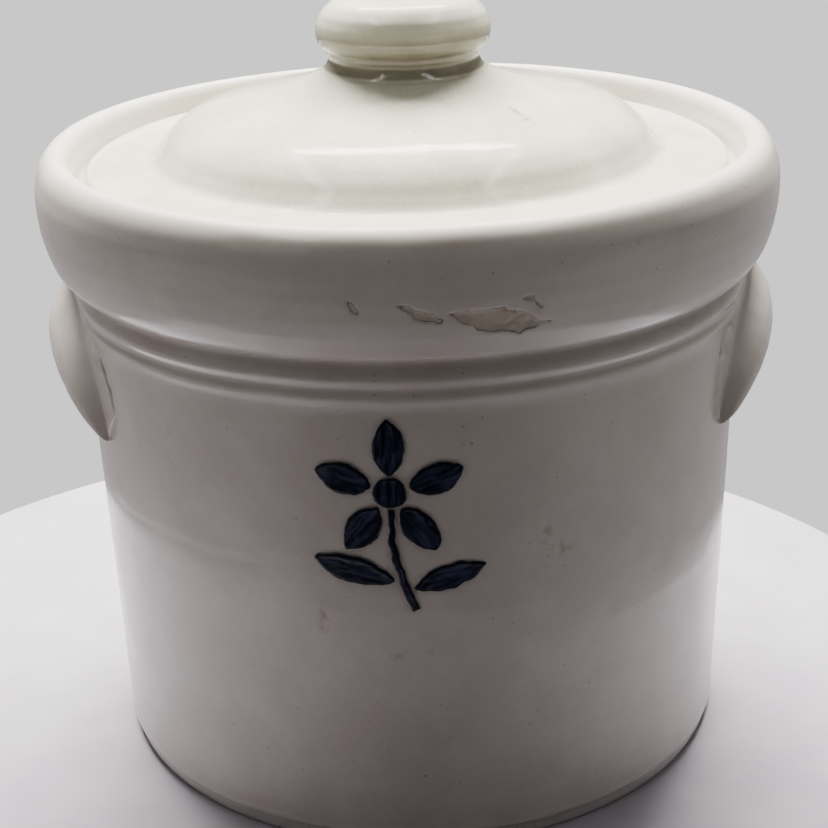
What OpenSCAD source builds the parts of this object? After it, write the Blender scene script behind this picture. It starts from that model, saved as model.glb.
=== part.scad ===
// A lidded one-gallon stoneware crock: a thrown pot with a rolled rim and two
// applied lug ears, a drop-in domed lid with a thrown knob, and a flower sprig
// painted on the front in raised slip.
// Millimetres. +Z is up, the origin is the centre of the base, the front is -Y.

/* [Crock] */
// Height from the table to the top of the rim
crock_h = 181; // [175:1:190]
// Outer radius of the wall, carried down to the table
wall_base_r = 93.4; // [92:0.2:95]
// Outer radius of the wall, carried up to the underside of the rim
wall_top_r = 96.8; // [96:0.2:98]
// Thickness of the wall above the floor
wall_t = 7.3; // [6:0.1:9]
// Thickness of the floor
floor_t = 8; // [6:0.5:11]
// Height of the bare clay bevel under the glaze line
bevel_h = 3.8; // [2.5:0.1:5]

/* [Rim] */
// Largest radius of the rolled rim
rim_r = 106.3; // [105:0.1:108]
// Radius of the rim's crest
crest_r = 99.5; // [99:0.1:100.5]
// Height of the rolled rim
rim_h = 34.7; // [32:0.1:37]
// Height from the rim's crest down to its widest line
rim_bulge_drop = 12.7; // [11:0.1:14]
// Depth of the lid's seat below the crest
seat_depth = 12.5; // [11.5:0.1:13]
// Radius of the wall above the seat
gallery_r = 95; // [94:0.1:95.5]
// Radius of the mouth below the seat
mouth_r = 87.2; // [86:0.1:88]

/* [Ears] */
// How far the lug stands out of the wall
ear_reach = 11.2; // [8:0.1:12]
// Radius of the lug's upper outline
ear_outline_r = 45; // [40:0.5:46]
// Height of the lowest tips of the lug above the table
ear_tip_z = 104; // [100:0.5:107]
// Height of the middle of the lug's lower lip above the table
ear_lip_z = 123; // [119:0.5:126]

/* [Lid] */
// Outer radius of the lid
lid_r = 92; // [90:0.1:93]
// Thickness of the lid at its edge
lid_edge_t = 6.8; // [6:0.1:8]
// Radius of the foot of the dome
dome_r = 73; // [70:0.2:76]
// Height of the dome above the flange
dome_h = 22; // [18:0.5:26]
// Thickness of the dome
dome_t = 6.5; // [5:0.1:8]

/* [Knob] */
// Largest radius of the knob
knob_r = 24.8; // [23:0.1:27]
// Radius of the knob's neck
neck_r = 21.4; // [20:0.1:22.4]
// Height of the knob above the dome
knob_h = 20.8; // [19:0.1:24]

/* [Slip flower] */
// Thickness of the raised slip
slip_t = 0.4; // [0.3:0.05:0.8]
// Length of a petal
petal_l = 15; // [10:0.5:15]
// Number of petals, odd so that none lies on the stem
petals = 5; // [5:2:7]
// Height of the flower's eye above the table
flower_z = 110; // [106:1:112]
// Turn of the flower from the front, towards -X
flower_turn = 4; // [0:1:10]

/* [Hidden] */
$fn = 96;

glaze_colour = [0.72, 0.69, 0.65];
lid_colour = [0.80, 0.80, 0.75];
slip_colour = [0.12, 0.15, 0.24];

curve_steps = 5;            // straight steps between two points of a curve
rim_foot_z = crock_h - rim_h;
bulge_z = crock_h - rim_bulge_drop;
seat_z = crock_h - seat_depth;
straight_top_z = rim_foot_z - 14;   // the wall is one plain cone below this
wall_inset = 0.9;           // clay behind the glaze line
seat_gap = 0.1;             // air between the lid and its seat
flange_z = seat_z + seat_gap + lid_edge_t;
flange_rise = 1;            // the flange climbs a little towards the dome
knob_z = flange_z + flange_rise + dome_h;
luting_r = 24;              // radius of the joint between knob and dome
ear_bite = 1.5;             // depth of the lug inside the wall
slip_tall = 38;             // reach of the slip shell above and below the flower

// Outer radius of the plain wall at a height
function wall_r(z) = wall_base_r + (wall_top_r - wall_base_r) * z / rim_foot_z;

// A smooth curve through a list of points, in straight steps
function curve(p, steps = curve_steps) = [
    for (i = [0 : len(p) - 2], k = [0 : steps - 1])
        let (t = k / steps, a = p[max(i - 1, 0)], b = p[i],
             c = p[i + 1], d = p[min(i + 2, len(p) - 1)])
        (2 * b + (c - a) * t + (2 * a - 5 * b + 4 * c - d) * t * t
            + (3 * b - a - 3 * c + d) * t * t * t) / 2,
    p[len(p) - 1]];

// Points on an ellipse between two angles, both ends included
function ellipse_arc(centre, rx, rz, from, to, steps) = [
    for (k = [0 : steps])
        let (a = from + (to - from) * k / steps)
        [centre[0] + rx * cos(a), centre[1] + rz * sin(a)]];

// ---- Crock -------------------------------------------------------------

function foot_profile() = [
    [0, 0], [wall_base_r - 2.4, 0],
    [wall_base_r - wall_inset - 0.2, 1],
    [wall_base_r - wall_inset, bevel_h - 0.8],
    [wall_r(bevel_h) - 0.4, bevel_h],
    [wall_r(bevel_h + 1), bevel_h + 1]];

// Two throwing ridges under the rim, each with a hollow above it
function ridge_profile() = curve([
    [wall_r(straight_top_z), straight_top_z],
    [wall_top_r + 0.6, rim_foot_z - 10.8],
    [wall_top_r + 0.1, rim_foot_z - 8.4],
    [wall_top_r + 1.2, rim_foot_z - 6.2],
    [wall_top_r + 0.9, rim_foot_z - 4],
    [wall_top_r + 0.1, rim_foot_z - 1.2],
    [wall_top_r + 0.6, rim_foot_z]]);

function rim_profile() = concat(
    ellipse_arc([rim_r - 9.1, bulge_z], 9.1, rim_h - rim_bulge_drop + 0.5,
                -77, -6, 12),
    ellipse_arc([crest_r, bulge_z], rim_r - crest_r, rim_bulge_drop, 0, 90, 12),
    ellipse_arc([crest_r, crock_h - 5], crest_r - gallery_r - 1, 5, 105, 180, 6),
    curve([[gallery_r + 0.2, seat_z + 4], [gallery_r, seat_z + 1.5],
           [gallery_r - 1.5, seat_z]], 4));

function inside_profile() = let (corner = 10, r = wall_base_r - wall_t) concat(
    [[mouth_r, seat_z], [mouth_r - 0.3, seat_z - 0.6]],
    ellipse_arc([r - corner, floor_t + corner], corner, corner, 0, -90, 9),
    [[0, floor_t]]);

module crock_body() {
    color(glaze_colour)
    rotate_extrude()
        polygon(concat(foot_profile(), ridge_profile(), rim_profile(), inside_profile()));
}

// ---- Ears --------------------------------------------------------------

ear_top_z = ear_tip_z + 44;  // upper outline, just inside the rim
ear_mid_z = ear_top_z - ear_outline_r;          // centre of the upper outline
ear_half_w = sqrt(pow(ear_outline_r, 2) - pow(ear_mid_z - ear_tip_z, 2));
ear_lip_r = (pow(ear_half_w, 2) + pow(ear_lip_z - ear_tip_z, 2))
            / (2 * (ear_lip_z - ear_tip_z));    // radius of the lower outline
ear_rings = 36;

// The lug's cross-section at one place: [share of its width from the lower
// lip to the upper outline, share of its reach]
ear_section = curve([[0.30, 0.25], [0.14, 0.62], [0.02, 0.78], [0.03, 0.95],
                     [0.16, 1.0], [0.45, 0.93], [0.72, 0.66], [0.93, 0.30], [1, 0]], 2);

// Shrinks the reach towards the two tips, at t = 0 and t = 1
function ear_swell(t) = pow(sin(180 * t), 0.48);

// One point of the lug, on its place along the arch and across it
function ear_point(t, across, reach) =
    let (up0 = asin((ear_tip_z - ear_mid_z) / ear_outline_r),
         lip0 = asin((ear_tip_z - ear_lip_z + ear_lip_r) / ear_lip_r),
         up_a = up0 + (180 - 2 * up0) * t,
         lip_a = lip0 + (180 - 2 * lip0) * t,
         upper = [ear_outline_r * cos(up_a), ear_mid_z + ear_outline_r * sin(up_a)],
         lower = [ear_lip_r * cos(lip_a),
                  ear_lip_z - ear_lip_r + ear_lip_r * sin(lip_a)],
         flat = lower * (1 - across) + upper * across,
         r = wall_r(flat[1]) + reach,
         turn = flat[0] / wall_r(flat[1]) * 180 / PI)
    [r * cos(turn), r * sin(turn), flat[1]];

function ear_ring(t) = concat(
    [ear_point(t, 0.30, -ear_bite)],
    [for (s = ear_section) ear_point(t, s[0], s[1] * ear_reach * ear_swell(t))],
    [ear_point(t, 1, -ear_bite)]);

module ear() {
    count = len(ear_section) + 2;
    points = [for (k = [0 : ear_rings]) each ear_ring(0.01 + 0.98 * k / ear_rings)];
    sides = [for (k = [0 : ear_rings - 1], j = [0 : count - 1])
        let (a = k * count + j, b = k * count + (j + 1) % count)
        each [[a, b, b + count], [a, b + count, a + count]]];
    first = [for (j = [count - 1 : -1 : 0]) j];
    last = [for (j = [0 : count - 1]) ear_rings * count + j];
    color(glaze_colour)
    polyhedron(points, concat(sides, [first, last]), convexity = 6);
}

module right_ear() {
    ear();
}

module left_ear() {
    rotate([0, 0, 180]) ear();
}

// ---- Slip flower -------------------------------------------------------

// Lays a flat outline, centred on the flower's eye, on the front of the wall
module on_wall() {
    low = flower_z - slip_tall;
    high = straight_top_z;
    color(slip_colour)
    rotate([0, 0, -flower_turn])
    intersection() {
        rotate_extrude()
            polygon([[wall_r(low), low], [wall_r(low) + slip_t, low],
                     [wall_r(high) + slip_t, high], [wall_r(high), high]]);
        translate([0, -wall_base_r / 2, flower_z])
        rotate([90, 0, 0])
            linear_extrude(wall_base_r) children();
    }
}

// A pointed oval from the origin along +X
module leaf_outline(length, width) {
    bow = (length * length + width * width) / (4 * width);
    intersection() {
        translate([length / 2, bow - width / 2]) circle(bow);
        translate([length / 2, width / 2 - bow]) circle(bow);
    }
}

eye_r = 4.2;
petal_gap = 0.8;
petal_w = 42 / petals;
stem_r = 70;              // the stem is an arc of this radius
stem_w = 2.2;

module slip_petals() {
    on_wall()
    for (k = [0 : petals - 1])
        rotate(90 + 360 * k / petals)
        translate([eye_r + petal_gap, 0]) leaf_outline(petal_l, petal_w);
}

module slip_flower_eye() {
    on_wall() circle(eye_r);
}

module slip_stem() {
    on_wall()
    intersection() {
        translate([stem_r, -6]) difference() {
            circle(stem_r + stem_w / 2, $fn = 360);
            circle(stem_r - stem_w / 2, $fn = 360);
        }
        translate([-6, -34]) square([14, 34 - eye_r - petal_gap]);
    }
}

module slip_leaves() {
    on_wall()
    for (leaf = [[0.4, -25, 165, 22, 7.6], [5.2, -27.5, 18, 20, 7]])
        translate([leaf[0], leaf[1]]) rotate(leaf[2]) leaf_outline(leaf[3], leaf[4]);
}

// ---- Lid ---------------------------------------------------------------

// Top of the lid from the knob's joint out to the edge
function lid_top() = let (f = flange_z, t = knob_z, h = dome_h) concat(
    curve([[luting_r, t], [luting_r + 6, t - 0.13 * h], [luting_r + 14, t - 0.245 * h],
           [luting_r + 23, t - 0.34 * h], [dome_r - 17, t - 0.435 * h],
           [dome_r - 11, t - 0.535 * h], [dome_r - 6, t - 0.69 * h],
           [dome_r - 2.4, t - 0.87 * h], [dome_r + 0.6, f + flange_rise + 0.1],
           [dome_r + 5, f + flange_rise - 0.3], [lid_r - 3, f]], 4),
    ellipse_arc([lid_r - 2.2, f - 2.4], 2.2, 2.2, 80, 0, 5));

// Underside of the lid from the edge back to the middle
function lid_under() = let (base = flange_z - lid_edge_t, t = knob_z - dome_t) concat(
    ellipse_arc([lid_r - 1.8, base + 1.8], 1.8, 1.8, 0, -90, 4),
    curve([[lid_r - 13, base], [lid_r - 17, base + 0.8], [dome_r - 4, base + 3.5],
           [dome_r - 14, base + 8.5], [luting_r + 20, t - 0.33 * dome_h],
           [luting_r + 6, t - 0.13 * dome_h], [10, t - 0.5], [0, t - 0.4]], 3));

module lid() {
    color(lid_colour)
    rotate_extrude()
        polygon(concat([[0, knob_z]], lid_top(), lid_under()));
}

module lid_knob() {
    top = knob_z + knob_h;
    roll_z = top - 10.4;                // the knob's widest line
    color(lid_colour)
    rotate_extrude()
        polygon(concat(
            [[0, knob_z]],
            curve([[luting_r, knob_z], [neck_r + 0.9, knob_z + 1.3], [neck_r, knob_z + 3.2],
                   [neck_r + 0.4, knob_z + 4.6], [neck_r + 0.6, knob_z + 6]], 4),
            ellipse_arc([knob_r - 2.4, roll_z], 2.4, roll_z - knob_z - 6.4, -75, -8, 5),
            ellipse_arc([knob_r - 10.4, roll_z], 10.4, 10.0, 0, 82, 10),
            [[0, top]]));
}

crock_body();
left_ear();
right_ear();
slip_petals();
slip_flower_eye();
slip_stem();
slip_leaves();
lid();
lid_knob();
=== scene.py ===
"""The looks of a lidded one-gallon stoneware crock: glazed clay with a wheel-thrown
surface, luted ears, a domed lid with a knob, and a flower painted in raised slip."""

import math

import bpy
import numpy as np
from mathutils import Matrix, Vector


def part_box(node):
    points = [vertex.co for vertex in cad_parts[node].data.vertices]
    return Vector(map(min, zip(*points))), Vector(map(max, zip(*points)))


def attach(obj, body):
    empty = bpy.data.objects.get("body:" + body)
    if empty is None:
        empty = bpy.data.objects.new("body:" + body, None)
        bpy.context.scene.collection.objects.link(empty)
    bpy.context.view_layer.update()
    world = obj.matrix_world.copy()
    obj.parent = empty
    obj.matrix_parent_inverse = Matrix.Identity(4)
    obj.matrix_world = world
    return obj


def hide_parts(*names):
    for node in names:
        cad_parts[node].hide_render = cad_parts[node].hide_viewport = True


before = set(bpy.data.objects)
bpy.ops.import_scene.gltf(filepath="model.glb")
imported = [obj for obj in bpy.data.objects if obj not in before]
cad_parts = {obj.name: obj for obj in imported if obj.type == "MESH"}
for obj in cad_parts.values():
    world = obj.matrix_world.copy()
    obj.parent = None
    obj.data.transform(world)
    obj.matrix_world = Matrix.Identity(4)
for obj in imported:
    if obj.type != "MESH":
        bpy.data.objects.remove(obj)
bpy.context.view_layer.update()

# ---- Sizes, in millimetres ------------------------------------------------
# The outer sizes come from the CAD boxes; the others repeat the design's.

MM = 0.001


def top_of(node):
    """Highest corner of a CAD node's box, in millimetres."""
    return [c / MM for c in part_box(node)[1]]


RIM_R, _, CROCK_H = top_of("crock_body")
LID_R, _, DOME_TOP = top_of("lid")
KNOB_R, _, KNOB_TOP = top_of("lid_knob")

WALL_BASE_R, WALL_TOP_R = 93.4, 96.8
WALL_T, FLOOR_T = 7.3, 8.0
BEVEL_H = 3.8
CREST_R, RIM_H, BULGE_DROP = 99.5, 34.7, 12.7
SEAT_DEPTH, GALLERY_R, MOUTH_R = 12.5, 95.0, 87.2
LID_EDGE_T, DOME_R, DOME_T, LUTING_R = 6.8, 73.0, 6.5, 24.0
NECK_R, KNOB_CORNER_R, KNOB_CROWN = 21.4, 9.3, 0.5
FLOWER_Z, FLOWER_TURN = 110.0, 4.0

RIM_FOOT_Z = CROCK_H - RIM_H
BULGE_Z = CROCK_H - BULGE_DROP
SEAT_Z = CROCK_H - SEAT_DEPTH
STRAIGHT_TOP_Z = RIM_FOOT_Z - 14
FLANGE_Z = SEAT_Z + 0.1 + LID_EDGE_T
FRONT = -math.pi / 2          # azimuth of the painted front


def wall_r(z):
    """Outer radius of the plain wall at a height."""
    return WALL_BASE_R + (WALL_TOP_R - WALL_BASE_R) * z / RIM_FOOT_Z


# ---- Curves and noise -----------------------------------------------------

def curve(points, steps=6):
    """A smooth curve through a few points."""
    p = [np.array(q, float) for q in points]
    out = []
    for i in range(len(p) - 1):
        a, b, c, d = p[max(i - 1, 0)], p[i], p[i + 1], p[min(i + 2, len(p) - 1)]
        for k in range(steps):
            t = k / steps
            out.append((2 * b + (c - a) * t + (2 * a - 5 * b + 4 * c - d) * t ** 2
                        + (3 * b - a - 3 * c + d) * t ** 3) / 2)
    return [tuple(q) for q in out + [p[-1]]]


def arc(centre, rx, rz, start, end, steps):
    """Points on an ellipse between two angles in degrees, both ends included."""
    angles = np.radians(np.linspace(start, end, steps + 1))
    return [(centre[0] + rx * math.cos(a), centre[1] + rz * math.sin(a)) for a in angles]


def resample(profile, spacing):
    """The profile again, with points spacing(r, z) apart along its length."""
    p = np.array(profile, float)
    gone = np.concatenate([[0], np.cumsum(np.hypot(*np.diff(p, axis=0).T))])
    out, at = [], 0.0
    while at < gone[-1]:
        r, z = np.interp(at, gone, p[:, 0]), np.interp(at, gone, p[:, 1])
        out.append((r, z))
        at += spacing(r, z)
    return np.array(out + [tuple(p[-1])])


def ripples(points, wavelength, seed, waves=24):
    """Smooth random hills of about unit height and that wavelength, at N x 3 points."""
    rng = np.random.default_rng(seed)
    way = rng.normal(size=(waves, 3))
    way /= np.linalg.norm(way, axis=1)[:, None]
    number = 2 * math.pi / (wavelength * rng.uniform(0.7, 1.5, waves))
    phase = rng.uniform(0, 2 * math.pi, waves)
    total = np.zeros(len(points))
    for w, n, f in zip(way, number, phase):
        total += np.sin(points @ (w * n) + f)
    return total / math.sqrt(waves / 2)


def smooth_step(x, low, high):
    """0 below low, 1 above high, and smooth between."""
    t = np.clip((x - low) / (high - low), 0, 1)
    return t * t * (3 - 2 * t)


# ---- Meshes ---------------------------------------------------------------

def make_object(name, points_mm, faces, body, nodes, material, fields=None):
    """A smooth mesh piece in place of CAD nodes. fields are values at each point."""
    mesh = bpy.data.meshes.new(name)
    mesh.from_pydata((np.asarray(points_mm) * MM).tolist(), [], faces)
    mesh.polygons.foreach_set("use_smooth", [True] * len(mesh.polygons))
    for field, values in (fields or {}).items():
        data = mesh.attributes.new(field, "FLOAT", "POINT").data
        data.foreach_set("value", np.asarray(values, np.float32))
    mesh.materials.append(material)
    piece = bpy.data.objects.new(name, mesh)
    bpy.context.scene.collection.objects.link(piece)
    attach(piece, body)
    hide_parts(*nodes)
    return piece


def lathe_points(profile, angles):
    """Points and unit normals of a turned surface, both rings x angles x 3."""
    r, z = profile[:, 0][:, None], profile[:, 1][:, None]
    along = np.gradient(profile, axis=0)
    along /= np.hypot(*along.T)[:, None]
    out_r, out_z = along[:, 1][:, None], -along[:, 0][:, None]
    c, s = np.cos(angles)[None, :], np.sin(angles)[None, :]
    points = np.stack([r * c, r * s, z + 0 * c], -1)
    normals = np.stack([out_r * c, out_r * s, out_z + 0 * c], -1)
    return points, normals


def lathe_faces(rings, count):
    """Faces of a closed turned surface whose two ends are single points on the axis."""
    faces = []
    for i in range(rings - 1):
        for j in range(count):
            a, b = i * count + j, i * count + (j + 1) % count
            faces.append((a, b, b + count, a + count))
    first, last = rings * count, rings * count + 1
    low = (rings - 1) * count
    for j in range(count):
        faces.append((first, (j + 1) % count, j))
        faces.append((last, low + j, low + (j + 1) % count))
    return faces


def turned_piece(name, profile, angles, relief, body, nodes, material, fields=None):
    """A turned piece. profile runs from axis to axis; relief(points, r, z, azimuth) is how
    far each point stands off the profile, and fields(...) gives values at each point."""
    ends, profile = (profile[0], profile[-1]), profile[1:-1]
    points, normals = lathe_points(profile, angles)
    flat = points.reshape(-1, 3)
    r = np.repeat(profile[:, 0], len(angles))
    z = np.repeat(profile[:, 1], len(angles))
    azimuth = np.tile(angles, len(profile))
    moved = flat + normals.reshape(-1, 3) * relief(flat, r, z, azimuth)[:, None]
    tips = [[0, 0, ends[0][1]], [0, 0, ends[1][1]]]
    every = np.concatenate([moved, tips])
    values = {}
    for field, value in (fields(flat, r, z, azimuth) if fields else {}).items():
        values[field] = np.concatenate([value, value[:1], value[-1:]])
    faces = lathe_faces(len(profile), len(angles))
    return make_object(name, every, faces, body, nodes, material, values)


# ---- Node graphs ----------------------------------------------------------

class Graph:
    """Short names for the shader nodes of one material."""

    def __init__(self, name):
        self.material = bpy.data.materials.new(name)
        self.material.use_nodes = True
        self.tree = self.material.node_tree
        self.shader = self.tree.nodes["Principled BSDF"]
        self.place = self.tree.nodes.new("ShaderNodeTexCoord").outputs["Object"]

    def link(self, value, socket):
        if isinstance(value, bpy.types.NodeSocket):
            self.tree.links.new(value, socket)
        elif socket.type == "RGBA" and len(value) == 3:
            socket.default_value = (*value, 1)
        else:
            socket.default_value = value

    def set(self, **inputs):
        for name, value in inputs.items():
            self.link(value, self.shader.inputs[name.replace("_", " ")])

    def math(self, operation, a, b=0.0, clamp=False):
        n = self.tree.nodes.new("ShaderNodeMath")
        n.operation, n.use_clamp = operation, clamp
        self.link(a, n.inputs[0])
        self.link(b, n.inputs[1])
        return n.outputs[0]

    def scaled(self, size_mm, offset):
        """Object coordinates in which size_mm is one unit long."""
        m = self.tree.nodes.new("ShaderNodeMapping")
        self.link(self.place, m.inputs["Vector"])
        m.inputs["Location"].default_value = offset
        m.inputs["Scale"].default_value = [1 / (size_mm * MM)] * 3
        return m.outputs[0]

    def noise(self, size_mm, detail=2.0, roughness=0.5, offset=(0, 0, 0)):
        """Noise between 0 and 1 whose features are about size_mm across."""
        n = self.tree.nodes.new("ShaderNodeTexNoise")
        self.link(self.scaled(size_mm, offset), n.inputs["Vector"])
        n.inputs["Scale"].default_value = 1
        n.inputs["Detail"].default_value = detail
        n.inputs["Roughness"].default_value = roughness
        return n.outputs["Fac"]

    def cells(self, size_mm, offset=(0, 0, 0)):
        """(distance to a cell's middle in cells, the cell's random number)."""
        n = self.tree.nodes.new("ShaderNodeTexVoronoi")
        self.link(self.scaled(size_mm, offset), n.inputs["Vector"])
        n.inputs["Scale"].default_value = 1
        split = self.tree.nodes.new("ShaderNodeSeparateColor")
        self.link(n.outputs["Color"], split.inputs[0])
        return n.outputs["Distance"], split.outputs[0]

    def field(self, name):
        n = self.tree.nodes.new("ShaderNodeAttribute")
        n.attribute_name = name
        return n.outputs["Fac"]

    def axis(self, which):
        n = self.tree.nodes.new("ShaderNodeSeparateXYZ")
        self.link(self.place, n.inputs[0])
        return n.outputs[which]

    def ramp(self, value, low, high, to_low=0.0, to_high=1.0):
        n = self.tree.nodes.new("ShaderNodeMapRange")
        n.interpolation_type = "SMOOTHSTEP"
        for socket, v in zip(n.inputs, (value, low, high, to_low, to_high)):
            self.link(v, socket)
        return n.outputs[0]

    def mix(self, share, a, b):
        n = self.tree.nodes.new("ShaderNodeMix")
        n.data_type = "RGBA"
        self.link(share, n.inputs["Factor"])
        self.link(a, n.inputs[6])
        self.link(b, n.inputs[7])
        return n.outputs[2]

    def bump(self, height, distance_mm, strength=1.0, normal=None):
        n = self.tree.nodes.new("ShaderNodeBump")
        n.inputs["Strength"].default_value = strength
        n.inputs["Distance"].default_value = distance_mm * MM
        self.link(height, n.inputs["Height"])
        if normal is not None:
            self.link(normal, n.inputs["Normal"])
        return n.outputs[0]

    def specks(self, cell_mm, radius, share, offset=(0, 0, 0)):
        """1 on small dots in a share of the cells, radius in cells, else 0."""
        distance, number = self.cells(cell_mm, offset)
        dot = self.ramp(distance, radius * 0.6, radius, 1.0, 0.0)
        return self.math("MULTIPLY", dot, self.math("LESS_THAN", number, share))


# ---- Materials ------------------------------------------------------------

CROCK_GLAZE = ((0.59, 0.53, 0.485), (0.63, 0.59, 0.54))
LID_GLAZE = ((0.46, 0.455, 0.365), (0.55, 0.545, 0.445))
# Painted shade: the near-black brown laid on the knob's neck and under its cap.
NECK_SHADE = (0.15, 0.135, 0.10)
BARE_CLAY = ((0.58, 0.545, 0.50), (0.74, 0.71, 0.66))
CHIP_CLAY = ((0.50, 0.44, 0.36), (0.62, 0.57, 0.48))
CHIP_BROWN = (0.34, 0.22, 0.17)
CROCK_PEEL, LID_PEEL = 0.022, 0.030
CROCK_GRIT, LID_GRIT = 0.07, 0.24
GRIT_COLOUR = (0.26, 0.24, 0.17)
# The darker tone laid in a ragged band along each chip's edge.
CHIP_EDGE_TONE = (0.05, 0.035, 0.025)
IRON = (0.10, 0.065, 0.04)
STAIN = (0.28, 0.20, 0.11)
SLIP_DARK = (0.006, 0.007, 0.018)
SLIP_BLUE = (0.050, 0.060, 0.115)


def glaze_base(g, tones, seed, peel, grit):
    """The glaze's mottled colour and its fine skin: (colour, normal). peel is the height of
    the skin's bumps in millimetres, and grit is how strongly the fine specks show."""
    at = (seed, 2 * seed, 3 * seed)
    broad = g.ramp(g.noise(17, 5, 0.6, at), 0.36, 0.64)
    fine = g.ramp(g.noise(1.6, 3, 0.6, at), 0.3, 0.7)
    share = g.math("ADD", g.math("MULTIPLY", broad, 0.75), g.math("MULTIPLY", fine, 0.25))
    colour = g.mix(share, tones[0], tones[1])
    grains = g.ramp(g.noise(0.9, 2, 0.6, at), 0.54, 0.72, 0.0, grit)
    colour = g.mix(grains, colour, GRIT_COLOUR)
    dust = g.specks(2.4, 0.16, 0.10, at)
    colour = g.mix(g.math("MULTIPLY", dust, 0.35), colour, IRON)
    iron = g.specks(7.0, 0.06, 0.09, at)
    colour = g.mix(g.math("MULTIPLY", iron, 0.6), colour, IRON)
    skin = g.bump(g.noise(2.2, 2, 0.5, at), 0.05, 0.5)
    skin = g.bump(g.noise(0.7, 2, 0.6, at), peel, 1.0, skin)
    pits = g.specks(5.0, 0.07, 0.25, (at[1], at[0], at[2]))
    skin = g.bump(g.math("SUBTRACT", 1.0, pits), 0.25, 0.6, skin)
    return colour, skin


def crock_material():
    g = Graph("crock_glaze")
    colour, skin = glaze_base(g, CROCK_GLAZE, 0.0, CROCK_PEEL, CROCK_GRIT)
    edge_noise = g.noise(2.0, 3, 0.6)

    height = g.axis("Z")
    line = g.math("ADD", height, g.math("MULTIPLY", g.noise(9, 2), 0.0009))
    bare_foot = g.ramp(line, 0.0040, 0.0044, 1.0, 0.0)
    chip = g.math("ADD", g.field("chip"), g.math("MULTIPLY", edge_noise, 0.3))
    bare_chip = g.ramp(chip, 0.10, 0.20, 1.0, 0.0)
    bare = g.math("MAXIMUM", bare_foot, bare_chip)
    # Darker in a ragged band along each chip's edge, just inside and just outside it.
    edge = g.math("MULTIPLY", g.ramp(chip, -0.15, 0.12), g.ramp(chip, 0.15, 0.38, 1.0, 0.0))
    chip_edge_band = g.math("MULTIPLY", edge, g.ramp(g.noise(4.5, 2, 0.5), 0.40, 0.60, 0.15, 1.0))

    stain = g.math("MULTIPLY", g.field("stain"), g.ramp(g.noise(3.5, 4, 0.65), 0.42, 0.6))
    colour = g.mix(g.math("MULTIPLY", stain, 0.6), colour, STAIN)
    clay = g.noise(1.2, 4, 0.7)
    colour = g.mix(bare_foot, colour, g.mix(clay, *BARE_CLAY))
    rusty = g.ramp(g.noise(6.5, 3, 0.6, (2.0, 0, 0)), 0.52, 0.66, 0.0, 0.75)
    broken = g.mix(rusty, g.mix(clay, *CHIP_CLAY), CHIP_BROWN)
    colour = g.mix(bare_chip, colour, broken)
    colour = g.mix(g.math("MULTIPLY", chip_edge_band, 0.75), colour, CHIP_EDGE_TONE)

    rough = g.ramp(g.noise(14, 3, 0.6), 0.3, 0.7, 0.16, 0.24)
    rough = g.math("ADD", rough, g.math("MULTIPLY", bare, 0.6), clamp=True)
    normal = g.bump(g.math("MULTIPLY", g.noise(0.5, 3, 0.7), bare), 0.15, 0.8, skin)
    g.set(Base_Color=colour, Roughness=rough, Normal=normal, IOR=1.5)
    return g.material


def lid_material():
    g = Graph("lid_glaze")
    colour, skin = glaze_base(g, LID_GLAZE, 3.7, LID_PEEL, LID_GRIT)
    broad = g.noise(9, 4, 0.6)
    stain = g.math("MULTIPLY", g.field("stain"), g.ramp(g.noise(1.5, 4, 0.65), 0.30, 0.52))
    colour = g.mix(g.math("MULTIPLY", stain, 0.85), colour, STAIN)
    # Painted shade: the knob's neck and the underside of its cap are darkened, as if in the cap's
    # shadow.
    neck = g.axis("Z")
    above = g.ramp(neck, (DOME_TOP + 0.3) * MM, (DOME_TOP + 1.2) * MM)
    below = g.ramp(neck, (DOME_TOP + 9.0) * MM, (DOME_TOP + 14.0) * MM, 1.0, 0.0)
    neck_shade = g.math("MULTIPLY", g.math("MULTIPLY", above, below), g.ramp(broad, 0.2, 0.8, 0.75, 0.95))
    colour = g.mix(neck_shade, colour, NECK_SHADE)
    rough = g.ramp(g.noise(11, 3, 0.6), 0.3, 0.7, 0.05, 0.10)
    g.set(Base_Color=colour, Roughness=rough, Normal=skin, IOR=1.5)
    return g.material


def slip_material():
    g = Graph("cobalt_slip")
    lanes = g.tree.nodes.new("ShaderNodeCombineXYZ")
    g.link(g.field("lane"), lanes.inputs[0])
    g.link(g.math("MULTIPLY", g.field("run"), 0.14), lanes.inputs[1])
    brush = g.tree.nodes.new("ShaderNodeTexNoise")
    g.link(lanes.outputs[0], brush.inputs["Vector"])
    brush.inputs["Scale"].default_value = 0.9
    brush.inputs["Detail"].default_value = 3
    streak, wander = brush.outputs["Fac"], g.noise(2.5, 2)
    inwards = g.math("ADD", g.field("inwards"), g.math("MULTIPLY", wander, 0.6))
    outline = g.ramp(inwards, 0.85, 1.25, 1.0, 0.0)
    fill = g.mix(g.ramp(streak, 0.35, 0.68), SLIP_DARK, SLIP_BLUE)
    fill = g.mix(g.ramp(g.noise(6, 2), 0.45, 0.7, 0.0, 0.7), fill, SLIP_DARK)
    colour = g.mix(outline, fill, SLIP_DARK)
    skin = g.bump(streak, 0.10, 0.6)
    pits = g.specks(3.0, 0.10, 0.22)
    skin = g.bump(g.math("SUBTRACT", 1.0, pits), 0.20, 0.8, skin)
    rough = g.ramp(g.noise(3, 3, 0.6), 0.3, 0.7, 0.10, 0.24)
    g.set(Base_Color=colour, Roughness=rough, Normal=skin, IOR=1.33)
    return g.material


# ---- Crock ----------------------------------------------------------------

FINE_HALF_ANGLE = math.radians(24)     # the chipped stretch of the rim gets a finer mesh
CHIP_Z = (151.0, 168.0)
CHIP_HALF_ANGLE = math.radians(22)     # every chip lies within this of the front

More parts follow.
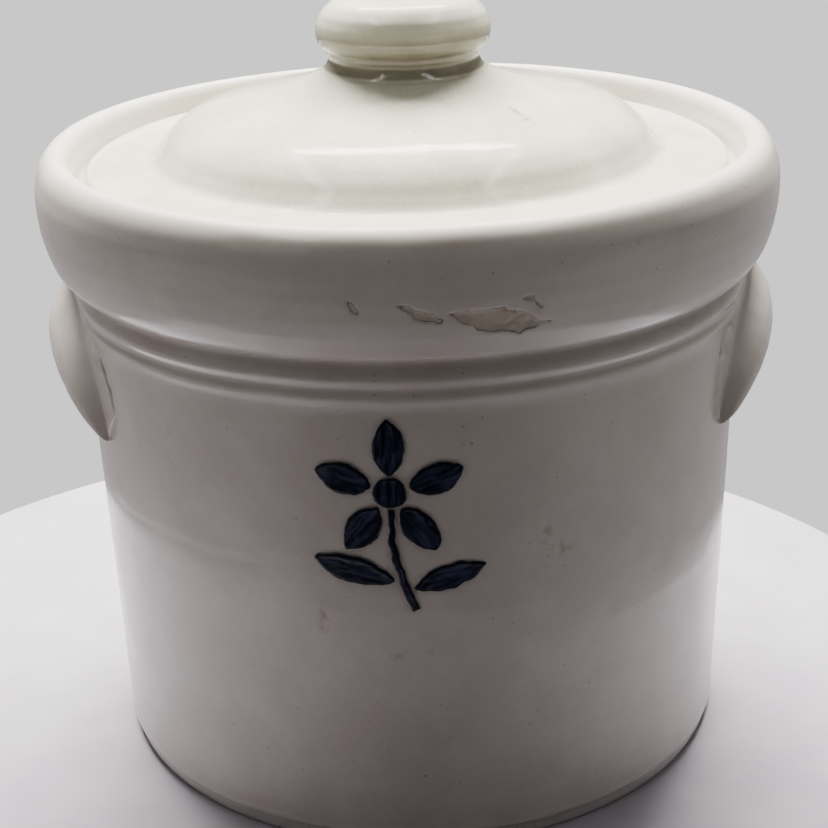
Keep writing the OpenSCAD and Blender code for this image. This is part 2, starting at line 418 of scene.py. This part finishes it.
# Chips are pointed ovals: (degrees from the front, height, half length, half width, tilt, bow)
CHIPS = (
    (-7.5, 162.5, 2.0, 0.6, -50, 0.0),
    (1.3, 160.5, 6.0, 1.3, -25, -0.4),
    (11.5, 158.0, 12.5, 3.2, -10, -0.5),
    (15.5, 162.0, 3.0, 0.7, -30, 0.4),
)

# Stains: (azimuth from the front in degrees, height, half width, half height)
STAINS = (
    (20.5, 91.5, 2.5, 6.5),
    (23.5, 89.0, 1.5, 3.0),
    (-15.5, 72.0, 2.0, 4.5),
    (-4.0, 61.0, 2.5, 1.0),
    (1.5, 62.5, 2.0, 1.0),
)


def crock_profile():
    """From the middle of the base, out, up the wall, over the rim and down inside."""
    inset = 0.9
    foot = [(0, 0), (WALL_BASE_R - 1.7, 0.0), (WALL_BASE_R - inset - 0.1, 0.7),
            (WALL_BASE_R - inset, BEVEL_H - 1.0), (WALL_BASE_R - 0.75, BEVEL_H - 0.3),
            (WALL_BASE_R - 0.1, BEVEL_H + 0.1), (wall_r(4.7), BEVEL_H + 0.9),
            (wall_r(7) - 0.1, 7.0)]
    ridges = curve([
        (wall_r(STRAIGHT_TOP_Z), STRAIGHT_TOP_Z), (WALL_TOP_R + 0.6, RIM_FOOT_Z - 10.8),
        (WALL_TOP_R + 0.1, RIM_FOOT_Z - 8.4), (WALL_TOP_R + 1.2, RIM_FOOT_Z - 6.2),
        (WALL_TOP_R + 0.9, RIM_FOOT_Z - 4), (WALL_TOP_R + 0.1, RIM_FOOT_Z - 1.2),
        (WALL_TOP_R + 0.6, RIM_FOOT_Z)])
    lower = arc((RIM_R - 9.1, BULGE_Z), 9.1, RIM_H - BULGE_DROP + 0.5, -77, -4, 16)
    upper = arc((CREST_R, BULGE_Z), RIM_R - CREST_R, BULGE_DROP, 0, 90, 16)
    inner = arc((CREST_R, CROCK_H - 5), CREST_R - GALLERY_R - 1, 5, 100, 180, 10)
    seat = curve([(GALLERY_R + 0.2, SEAT_Z + 4), (GALLERY_R, SEAT_Z + 1.5),
                  (GALLERY_R - 1.5, SEAT_Z)])
    bore = WALL_BASE_R - WALL_T
    inside = [(MOUTH_R + 0.4, SEAT_Z), (MOUTH_R, SEAT_Z - 0.4), (MOUTH_R - 0.3, SEAT_Z - 1.2)]
    inside += arc((bore - 10, FLOOR_T + 10), 10, 10, 0, -90, 12) + [(0, FLOOR_T)]
    return foot + ridges + lower + upper + inner + seat + inside


def crock_spacing(r, z):
    """Finer rings where the chips, ridges and foot are."""
    if r < MOUTH_R + 0.5:
        return 4.0
    if CHIP_Z[0] < z < CHIP_Z[1] and r > CREST_R + 1:
        return 0.55
    if z < 8:
        return 0.45
    if z > RIM_FOOT_Z - 14:
        return 0.9
    return 1.9


def fine_angles(fine_deg=0.3, coarse_deg=2.0):
    """Azimuths all round, closer together across the front."""
    count = round(2 * FINE_HALF_ANGLE / math.radians(fine_deg))
    near = FRONT + np.linspace(-FINE_HALF_ANGLE, FINE_HALF_ANGLE, count + 1)
    rest = 2 * math.pi - 2 * FINE_HALF_ANGLE
    far = near[-1] + np.linspace(0, rest, round(rest / math.radians(coarse_deg)) + 1)[1:-1]
    return np.concatenate([near, far])


def from_front(azimuth):
    """Azimuth measured from the front, between -pi and pi, positive towards +X."""
    return (azimuth - FRONT + math.pi) % (2 * math.pi) - math.pi


def oval_distance(x, y, half_length, half_width, tilt, bow):
    """Roughly the distance from points to a bowed oval with pointed ends, below 0 inside."""
    c, s = math.cos(math.radians(tilt)), math.sin(math.radians(tilt))
    along, across = x * c + y * s, y * c - x * s
    share = 1 - (along / half_length) ** 2
    return np.abs(across - bow * share) - half_width * share


def chip_field(points, r, z, azimuth):
    """Distance to the nearest chip's edge in millimetres, below 0 inside it."""
    field = np.full(len(z), 6.0)
    turn = from_front(azimuth)
    near = (r > CREST_R) & (z > CHIP_Z[0]) & (z < CHIP_Z[1]) & (np.abs(turn) < CHIP_HALF_ANGLE)
    for degrees, height, *shape in CHIPS:
        x = (turn[near] - math.radians(degrees)) * RIM_R
        field[near] = np.minimum(field[near], oval_distance(x, z[near] - height, *shape))
    at = points[near]
    field[near] += 0.26 * ripples(at, 3.2, 5) + 0.10 * ripples(at, 1.3, 6)
    return field


def stain_field(points, r, z, azimuth):
    """1 in the middle of each stain, fading to 0."""
    total = np.zeros(len(z))
    for turn, height, half_w, half_h in STAINS:
        x = (from_front(azimuth) - math.radians(turn)) * r / half_w
        away = np.hypot(x, (z - height) / half_h)
        total = np.maximum(total, smooth_step(away, 1.3, 0.2))
    return np.where(r > MOUTH_R + 2, total, 0)


def crock_relief(points, r, z, azimuth):
    """Out of round, throwing lines, the glaze's waves and edge, and the chips."""
    round_off = 0.16 * np.cos(2 * azimuth + 0.6) + 0.10 * np.cos(3 * azimuth + 2.0)
    relief = round_off - 0.3
    spiral = z + 2.6 * azimuth / (2 * math.pi)
    lines = 0.03 * np.sin(spiral * 2 * math.pi / 5.2) + 0.02 * np.sin(spiral * 2 * math.pi / 8.9)
    outside = (r > MOUTH_R + 2) & (z > BEVEL_H)
    relief += np.where(outside, lines + 0.045 * ripples(points, 34, 1), 0)
    relief += np.where(outside, 0.012 * ripples(points, 11, 2), 0)
    roll = np.exp(-((z - BEVEL_H - 1.3 - 0.25 * ripples(points, 22, 3)) / 0.8) ** 2)
    relief += np.where(r > WALL_BASE_R - 3, 0.16 * roll, 0)
    chip = chip_field(points, r, z, azimuth)
    depth = np.clip(0.25 - chip * 0.25, 0, 0.7) * smooth_step(chip, 0.22, -0.08)
    relief -= depth * (1 + 0.15 * ripples(points, 1.8, 8))
    return np.where(z < 0.4, 0, relief)


def make_crock(material):
    profile = resample(crock_profile(), crock_spacing)
    fields = lambda *at: {"chip": chip_field(*at), "stain": stain_field(*at)}
    return turned_piece("crock_pot", profile, fine_angles(), crock_relief, "crock",
                        ["crock_body"], material, fields)


# ---- Ears -----------------------------------------------------------------

EAR_REACH = 11.1
EAR_R = 45.0
EAR_TIP_Z, EAR_LIP_Z, EAR_TOP_Z = 104.0, 123.0, 148.0
EAR_RINGS = 220


def ear_section(steps):
    """The lug's section from its lower lip out and up to its upper outline:
    (share of its width, share of its reach)."""
    return np.array(curve([
        (0.42, -0.12), (0.34, 0.10), (0.24, 0.40), (0.12, 0.64), (0.02, 0.76), (-0.01, 0.86),
        (0.04, 0.96), (0.18, 1.0), (0.42, 0.87), (0.62, 0.58), (0.78, 0.32), (0.90, 0.18),
        (1.0, 0.12)], steps))


# The smeared clay round the upper outline: (distance beyond it, height on the wall)
SMEAR = ((1.8, 0.80), (3.4, 0.60), (5.0, 0.46), (6.2, 0.34), (6.9, 0.10), (7.4, -0.9))


def ear_outline(t):
    """The lug's upper and lower outlines on the unrolled wall, at a share t of its length."""
    mid_z = EAR_TOP_Z - EAR_R
    half_w = math.sqrt(EAR_R ** 2 - (mid_z - EAR_TIP_Z) ** 2)
    drop = EAR_LIP_Z - EAR_TIP_Z
    lip_r = (half_w ** 2 + drop ** 2) / (2 * drop)
    up0 = math.asin((EAR_TIP_Z - mid_z) / EAR_R)
    lip0 = math.asin((EAR_TIP_Z - EAR_LIP_Z + lip_r) / lip_r)
    up = up0 + (math.pi - 2 * up0) * t
    lip = lip0 + (math.pi - 2 * lip0) * t
    upper = np.stack([EAR_R * np.cos(up), mid_z + EAR_R * np.sin(up)], -1)
    lower = np.stack([lip_r * np.cos(lip), EAR_LIP_Z - lip_r + lip_r * np.sin(lip)], -1)
    return upper, lower


def make_ear(name, node, middle, seed, material):
    section = ear_section(4)
    t = np.linspace(0.003, 0.997, EAR_RINGS)
    upper, lower = ear_outline(t)
    across = section[:, 0][None, :, None]
    flat = lower[:, None, :] * (1 - across) + upper[:, None, :] * across
    swell = np.sin(math.pi * t)[:, None] ** 0.48
    share = section[:, 1][None, :]
    reach = np.where(share < 0, share * 8 + 0 * swell, share * EAR_REACH * swell)
    out = upper - np.array([0, EAR_TOP_Z - EAR_R])
    out /= np.hypot(*out.T)[:, None]
    run = np.stack([40 * t, 0 * t, 0 * t + 9.0 * seed], -1)
    ragged = 1 + 0.14 * ripples(run, 3.4, seed + 2) + 0.07 * ripples(run, 1.1, seed + 3)
    ragged *= smooth_step(np.sin(math.pi * t), 0.0, 0.25)
    for beyond, height in SMEAR:
        step = (upper + out * (beyond * np.clip(ragged, 0, 1.5))[:, None])[:, None, :]
        flat = np.concatenate([flat, step], 1)
        stroke_mark = 0.16 * ripples(run, 1.3, seed + 4) * (height > 0.1)
        reach = np.concatenate([reach, (height + stroke_mark)[:, None]], 1)
    count = flat.shape[1]
    radius = wall_r(flat[..., 1]) + reach
    turn = flat[..., 0] / wall_r(flat[..., 1]) + middle
    points = np.stack([radius * np.cos(turn), radius * np.sin(turn), flat[..., 1]], -1)
    points = points.reshape(-1, 3)
    away = np.stack([np.cos(turn), np.sin(turn), 0 * turn], -1).reshape(-1, 3)
    lumps = 0.12 * ripples(points, 22, seed) + 0.04 * ripples(points, 7, seed + 1)
    points = points + away * (np.clip(lumps, -0.3, 0.2) - 0.25)[:, None]
    faces = []
    for k in range(EAR_RINGS - 1):
        for j in range(count):
            a, b = k * count + j, k * count + (j + 1) % count
            faces.append((a, b, b + count, a + count))
    faces.append(tuple(range(count - 1, -1, -1)))
    faces.append(tuple(range((EAR_RINGS - 1) * count, EAR_RINGS * count)))
    fields = {"chip": np.full(len(points), 6.0), "stain": np.zeros(len(points))}
    return make_object(name, points, faces, "crock", [node], material, fields)


# ---- Painted flower -------------------------------------------------------

SLIP_T = 0.36
EYE_R, PETAL_GAP, PETAL_L, PETALS = 4.2, 0.8, 15.0, 5
PETAL_W = 42 / PETALS
STEM_R, STEM_W, STEM_END = 70.0, 2.2, -34.0
LEAVES = ((0.4, -25, 165, 22, 7.6), (5.2, -27.5, 18, 20, 7.0))


def on_wall(flat, height):
    """Places flat points, centred on the flower's eye, on the front of the wall."""
    x, z = flat[:, 0], FLOWER_Z + flat[:, 1]
    r = wall_r(z)
    azimuth = FRONT + np.arcsin(x / r) - math.radians(FLOWER_TURN)
    stands = r + height
    return np.stack([stands * np.cos(azimuth), stands * np.sin(azimuth), z], -1)


def stroke(spine, half_width, seed, steps_across=12):
    """One brush stroke: (points, faces, fields). spine is N x 2 flat points; the stroke is
    a closed thin shell that thins towards its edge."""
    way = np.gradient(spine, axis=0)
    way /= np.hypot(*way.T)[:, None]
    side = np.stack([-way[:, 1], way[:, 0]], -1)
    lane = np.linspace(-1, 1, steps_across + 1)
    flat = spine[:, None, :] + side[:, None, :] * (half_width[:, None] * lane[None, :])[..., None]
    flat = flat.reshape(-1, 2)
    rows, columns = len(spine), len(lane)
    wobble = np.stack([flat[:, 0], flat[:, 1], np.full(len(flat), seed * 9.0)], -1)
    flat = flat + 0.16 * np.stack([ripples(wobble, 6, 11), ripples(wobble, 6, 12)], -1)
    flat = flat + 0.05 * np.stack([ripples(wobble, 2, 14), ripples(wobble, 2, 15)], -1)
    edge = (1 - np.abs(lane))[None, :] * half_width[:, None]
    end = np.minimum(np.arange(rows), np.arange(rows)[::-1])[:, None] * 0.5 + 0.0 * edge
    inwards = np.minimum(edge, end).reshape(-1)
    thick = SLIP_T * (0.55 + 0.45 * smooth_step(inwards, 0.0, 0.5))
    thick = thick - 0.09 * smooth_step(inwards, 0.7, 1.5) + 0.02 * ripples(wobble, 1.6, 13)
    top = on_wall(flat, np.clip(thick - 0.22, 0.04, SLIP_T))
    bottom = on_wall(flat, np.full(len(flat), -0.6))
    points = np.concatenate([top, bottom])
    faces = []
    under = rows * columns
    for i in range(rows - 1):
        for j in range(columns - 1):
            a = i * columns + j
            faces.append((a, a + 1, a + columns + 1, a + columns))
            faces.append((under + a, under + a + columns, under + a + columns + 1, under + a + 1))
    ring = ([j for j in range(columns)] + [i * columns + columns - 1 for i in range(1, rows)]
            + [(rows - 1) * columns + j for j in range(columns - 2, -1, -1)]
            + [i * columns for i in range(rows - 2, 0, -1)])
    for k, a in enumerate(ring):
        b = ring[(k + 1) % len(ring)]
        faces.append((a, under + a, under + b, b))
    run = np.concatenate([[0], np.cumsum(np.hypot(*np.diff(spine, axis=0).T))])
    lane_mm = (half_width[:, None] * lane[None, :]).reshape(-1) + 7.0 * seed
    fields = {"inwards": inwards, "lane": lane_mm, "run": np.repeat(run, columns)}
    return points, faces, {k: np.tile(v, 2) for k, v in fields.items()}


def leaf_stroke(start, angle, length, width, seed):
    """A pointed oval from start, as two crossing arcs leave it."""
    t = np.linspace(0.012, 0.988, round(length * 2.2))
    bow = (length ** 2 + width ** 2) / (4 * width)
    reach = np.sqrt(bow ** 2 - (length * (t - 0.5)) ** 2)
    half = reach - (bow - width / 2)
    way = np.array([math.cos(math.radians(angle)), math.sin(math.radians(angle))])
    spine = np.array(start) + (length * t)[:, None] * way
    return stroke(spine, half, seed)


def join_strokes(name, node, strokes, material):
    points, faces = [], []
    for p, f, _ in strokes:
        shift = sum(len(q) for q in points)
        points.append(p)
        faces += [tuple(shift + i for i in face) for face in f]
    fields = {k: np.concatenate([s[2][k] for s in strokes]) for k in strokes[0][2]}
    return make_object(name, np.concatenate(points), faces, "crock", [node],
                       material, fields)


def make_flower(material):
    petals = []
    for k in range(PETALS):
        angle = 90 + 360 * k / PETALS
        base = EYE_R + PETAL_GAP
        start = (base * math.cos(math.radians(angle)), base * math.sin(math.radians(angle)))
        petals.append(leaf_stroke(start, angle, PETAL_L, PETAL_W, k + 1))
    join_strokes("petals", "slip_petals", petals, material)
    y = np.linspace(-EYE_R * 0.99, EYE_R * 0.99, 24)
    half = np.sqrt(EYE_R ** 2 - y ** 2)
    eye = stroke(np.stack([0 * y, y], -1), half, 7)
    join_strokes("flower_eye", "slip_flower_eye", [eye], material)
    y = np.linspace(-EYE_R - PETAL_GAP, STEM_END, 60)
    x = STEM_R - np.sqrt(STEM_R ** 2 - (y + 6) ** 2)
    width = STEM_W / 2 * (0.75 + 0.35 * np.linspace(0, 1, len(y)))
    stem = stroke(np.stack([x, y], -1), width, 8, 6)
    join_strokes("stem", "slip_stem", [stem], material)
    leaves = [leaf_stroke(leaf[:2], *leaf[2:], 9 + k) for k, leaf in enumerate(LEAVES)]
    join_strokes("leaves", "slip_leaves", leaves, material)


# ---- Lid and knob ---------------------------------------------------------

DOME_H = DOME_TOP - FLANGE_Z - 1
# Scratches on the dome: (degrees from the front, radius, half length, half width, tilt)
LID_STAINS = ((44, 42.5, 3.5, 1.0, -60), (42, 48.0, 1.5, 1.0, -30))


def lid_profile():
    """From the middle of the underside out to the edge and up the dome to its middle."""
    f, t, h, base, under = FLANGE_Z, DOME_TOP, DOME_H, FLANGE_Z - LID_EDGE_T, DOME_TOP - DOME_T
    below = curve([(0, under - 0.4), (10, under - 0.5), (LUTING_R + 6, under - 0.13 * h),
                   (LUTING_R + 20, under - 0.33 * h), (DOME_R - 14, base + 8.5),
                   (DOME_R - 4, base + 3.5), (LID_R - 17, base + 0.8), (LID_R - 13, base)])
    edge = arc((LID_R - 1.8, base + 1.8), 1.8, 1.8, -90, 0, 8)
    edge += arc((LID_R - 2.2, f - 2.4), 2.2, 2.2, 0, 80, 10)
    above = curve([(LID_R - 3, f), (DOME_R + 5, f + 0.7), (DOME_R + 0.6, f + 1.1),
                   (DOME_R - 2.4, t - 0.87 * h), (DOME_R - 6, t - 0.69 * h),
                   (DOME_R - 11, t - 0.535 * h), (DOME_R - 17, t - 0.435 * h),
                   (LUTING_R + 23, t - 0.34 * h), (LUTING_R + 14, t - 0.245 * h),
                   (LUTING_R + 6, t - 0.13 * h), (LUTING_R, t)])
    return below + edge + above + [(0, t)]


def lid_relief(points, r, z, azimuth):
    above = z > FLANGE_Z - LID_EDGE_T + 1
    spiral = r + 1.8 * azimuth / (2 * math.pi)
    lines = 0.010 * np.sin(spiral * 2 * math.pi / 4.3)
    waves = 0.03 * ripples(points, 30, 21) + 0.010 * ripples(points, 10, 22)
    relief = np.where(above & (r > LUTING_R), lines + waves, 0) - 0.12
    return np.where(r < LUTING_R, 0, relief)


def lid_fields(points, r, z, azimuth):
    total = np.zeros(len(z))
    for turn, radius, half_l, half_w, tilt in LID_STAINS:
        a = from_front(azimuth)
        x = r * np.sin(a) - radius * math.sin(math.radians(turn))
        y = -r * np.cos(a) + radius * math.cos(math.radians(turn))
        c, s = math.cos(math.radians(tilt)), math.sin(math.radians(tilt))
        away = np.hypot((x * c + y * s) / half_l, (y * c - x * s) / half_w)
        total = np.maximum(total, smooth_step(away, 1.3, 0.3))
    return {"stain": total * (z > FLANGE_Z - 2)}


def knob_profile():
    """From the middle of the joint up the neck and over the crown to its middle."""
    roll_z = KNOB_TOP - KNOB_CORNER_R - KNOB_CROWN
    neck = curve([(LUTING_R, DOME_TOP + 0.05), (LUTING_R - 0.9, DOME_TOP + 0.55),
                  (NECK_R + 0.8, DOME_TOP + 1.6), (NECK_R, DOME_TOP + 3.4),
                  (NECK_R + 0.35, DOME_TOP + 4.7), (NECK_R + 0.6, DOME_TOP + 6.0)])
    under = arc((KNOB_R - 2.4, roll_z), 2.4, roll_z - DOME_TOP - 6.4, -75, -8, 10)
    corner = arc((KNOB_R - KNOB_CORNER_R, roll_z), KNOB_CORNER_R, KNOB_CORNER_R, 0, 80, 16)
    return [(0, DOME_TOP - 0.3), (LUTING_R - 0.5, DOME_TOP - 0.3)] + neck + under + corner + [
        (KNOB_R - KNOB_CORNER_R - 4, KNOB_TOP - 0.25), (0, KNOB_TOP)]


def knob_relief(points, r, z, azimuth):
    lines = 0.03 * np.sin((z + 1.2 * azimuth / (2 * math.pi)) * 2 * math.pi / 2.9)
    wobble = 0.10 * np.cos(2 * azimuth + 1.0) - 0.15
    relief = lines + wobble + 0.03 * ripples(points, 9, 31)
    return np.where(z < DOME_TOP, 0, relief * smooth_step(r, 2, 8))


def make_lid(material):
    angles = np.linspace(0, 2 * math.pi, 289)[:-1]
    spacing = lambda r, z: 0.7 if r > 60 else 1.1
    profile = resample(lid_profile(), spacing)
    turned_piece("lid_dome", profile, angles, lid_relief, "lid", ["lid"],
                 material, lid_fields)
    profile = resample(knob_profile(), lambda r, z: 0.45 if r > 15 else 1.2)
    clean = lambda points, *at: {"stain": np.zeros(len(points))}
    turned_piece("knob", profile, angles[::2], knob_relief, "lid", ["lid_knob"],
                 material, clean)


# ---- Stage, light and camera ----------------------------------------------

TABLE_R, TABLE_T, TABLE_AT = 0.204, 0.014, (-0.020, -0.011)
TABLE_TONES = ((0.325, 0.305, 0.35), (0.365, 0.345, 0.39))


def table_outline(steps=256):
    """The round table top seen from above."""
    angles = [2 * math.pi * k / steps for k in range(steps)]
    x, y = TABLE_AT
    return [(x + TABLE_R * math.cos(a), y + TABLE_R * math.sin(a)) for a in angles]


def make_table():
    """The pale table top that the crock stands on."""
    g = Graph("table")
    tone = g.ramp(g.noise(25, 3), 0.3, 0.7)
    g.set(Base_Color=g.mix(tone, *TABLE_TONES), Roughness=0.5)
    outline = table_outline()
    count = len(outline)
    points = [(*p, 0) for p in outline] + [(*p, -TABLE_T) for p in outline]
    faces = [tuple(range(count)), tuple(range(2 * count - 1, count - 1, -1))]
    for k in range(count):
        after = (k + 1) % count
        faces.append((k, k + count, after + count, after))
    mesh = bpy.data.meshes.new("table_top")
    mesh.from_pydata(points, [], faces)
    mesh.materials.append(g.material)
    table = bpy.data.objects.new("table_top", mesh)
    bpy.context.scene.collection.objects.link(table)
    edge = table.modifiers.new("edge", "BEVEL")
    edge.width, edge.segments = 0.002, 4


def area_light(name, size, place, watts, colour=(1, 1, 1)):
    """A soft rectangle of light at place, facing down."""
    data = bpy.data.lights.new(name, "AREA")
    data.shape, data.size, data.size_y = "RECTANGLE", *size
    data.energy, data.color = watts, colour
    lamp = bpy.data.objects.new(name, data)
    bpy.context.scene.collection.objects.link(lamp)
    lamp.location = place
    lamp.visible_camera = False
    return lamp


STRIP_HEIGHT, STRIP_WIDTH, STRIP_BACK_X, STRIP_FRONT_X = 0.70, 0.012, 0.19, 0.31
STRIP_BACK_Y, STRIP_FRONT_Y = 0.43, -0.42
WARM = (1.0, 0.975, 0.925)
LEFT_WATTS, RIGHT_WATTS, FRONT_WATTS, BACK_WATTS = 105, 90, 6, 760       # for each square metre
SOFT_SIZE, SOFT_AT, SOFT_TILT, SOFT_WATTS = (0.9, 0.5), (-0.04, 0.48, 0.90), 30, 108.0


def make_lights():
    """A frame of strip lights over the crock, and a soft light high up behind it."""
    middle, half_y = (STRIP_BACK_Y + STRIP_FRONT_Y) / 2, (STRIP_BACK_Y - STRIP_FRONT_Y) / 2
    lean = math.atan((STRIP_FRONT_X - STRIP_BACK_X) / (2 * half_y))
    for name, side, per_area in (("strip_left", -1, LEFT_WATTS), ("strip_right", 1, RIGHT_WATTS)):
        size = (STRIP_WIDTH, 2 * half_y)
        place = (side * (STRIP_FRONT_X + STRIP_BACK_X) / 2, middle, STRIP_HEIGHT)
        lamp = area_light(name, size, place, per_area * size[0] * size[1], WARM)
        lamp.rotation_euler = (0, 0, side * lean)
    for name, y, half_x, per_area in (("strip_front", STRIP_FRONT_Y, STRIP_FRONT_X, FRONT_WATTS),
                                      ("strip_back", STRIP_BACK_Y, STRIP_BACK_X, BACK_WATTS)):
        size = (2 * half_x, STRIP_WIDTH)
        area_light(name, size, (0, y, STRIP_HEIGHT), per_area * size[0] * size[1], WARM)
    high = area_light("high_back", SOFT_SIZE, SOFT_AT, SOFT_WATTS, WARM)
    high.rotation_euler = (-math.radians(SOFT_TILT), 0, 0)
    high.visible_glossy = False


BACKDROP_SEEN = 1.11
WALL_LIGHT, GROUND_LIGHT = (0.004, 0.20), (0.15, 0.60)


ROOM = (1, 0.945, 0.955, 1)
WALL_Y, GROUND_Z, BESIDE_Y = (-0.6, 0.5), (0.0, -0.25), (-0.88, -0.45)     # where each ramp runs


def world_math(tree, operation, a, b):
    """Two strengths combined by one math operation."""
    n = tree.nodes.new("ShaderNodeMath")
    n.operation = operation
    tree.links.new(a, n.inputs[0])
    tree.links.new(b, n.inputs[1])
    return n.outputs[0]


def world_ramp(tree, value, start, end, levels):
    """A smooth ramp from levels[0] at start to levels[1] at end."""
    n = tree.nodes.new("ShaderNodeMapRange")
    n.interpolation_type = "SMOOTHSTEP"
    for socket, v in zip(n.inputs, (0, start, end, *levels)):
        socket.default_value = v
    tree.links.new(value, n.inputs[0])
    return n.outputs[0]


def make_world():
    """Plain grey surroundings: pale behind and beside, a dim ground, dark in front."""
    world = bpy.data.worlds.new("studio")
    bpy.context.scene.world = world
    world.use_nodes = True
    tree = world.node_tree
    lit = tree.nodes["Background"]
    lit.inputs["Color"].default_value = ROOM
    place = tree.nodes.new("ShaderNodeTexCoord")
    split = tree.nodes.new("ShaderNodeSeparateXYZ")
    tree.links.new(place.outputs["Generated"], split.inputs[0])
    wall = world_ramp(tree, split.outputs["Y"], *WALL_Y, WALL_LIGHT)
    ground = world_ramp(tree, split.outputs["Z"], *GROUND_Z, GROUND_LIGHT)
    beside = world_ramp(tree, split.outputs["Y"], *BESIDE_Y, (0.0, 1.0))
    ground = world_math(tree, "MULTIPLY", ground, beside)
    most = world_math(tree, "MAXIMUM", wall, ground)
    tree.links.new(most, lit.inputs["Strength"])
    seen = tree.nodes.new("ShaderNodeBackground")
    seen.inputs["Color"].default_value = (BACKDROP_SEEN, BACKDROP_SEEN, BACKDROP_SEEN, 1)
    ray = tree.nodes.new("ShaderNodeLightPath")
    mix = tree.nodes.new("ShaderNodeMixShader")
    tree.links.new(ray.outputs["Is Camera Ray"], mix.inputs[0])
    tree.links.new(lit.outputs[0], mix.inputs[1])
    tree.links.new(seen.outputs[0], mix.inputs[2])
    tree.links.new(mix.outputs[0], tree.nodes["World Output"].inputs[0])


CAMERA_AT, CAMERA_PITCH, CAMERA_ROLL = (0.0, -0.4833, 0.2918), 22.47, -1.644
CAMERA_LENS = 73.91


def make_camera():
    data = bpy.data.cameras.new("camera")
    data.lens, data.sensor_width = CAMERA_LENS, 36
    data.clip_start = 0.01
    camera = bpy.data.objects.new("camera", data)
    bpy.context.scene.collection.objects.link(camera)
    tilt = Matrix.Rotation(math.radians(90 - CAMERA_PITCH), 4, "X")
    roll = Matrix.Rotation(math.radians(CAMERA_ROLL), 4, "Z")
    camera.matrix_world = Matrix.Translation(CAMERA_AT) @ tilt @ roll
    bpy.context.scene.camera = camera


def main():
    make_camera()
    glaze = crock_material()
    make_crock(glaze)
    make_ear("ear_right", "right_ear", 0.0, 41, glaze)
    make_ear("ear_left", "left_ear", math.pi, 51, glaze)
    make_flower(slip_material())
    make_lid(lid_material())
    make_table()
    make_lights()
    make_world()


main()
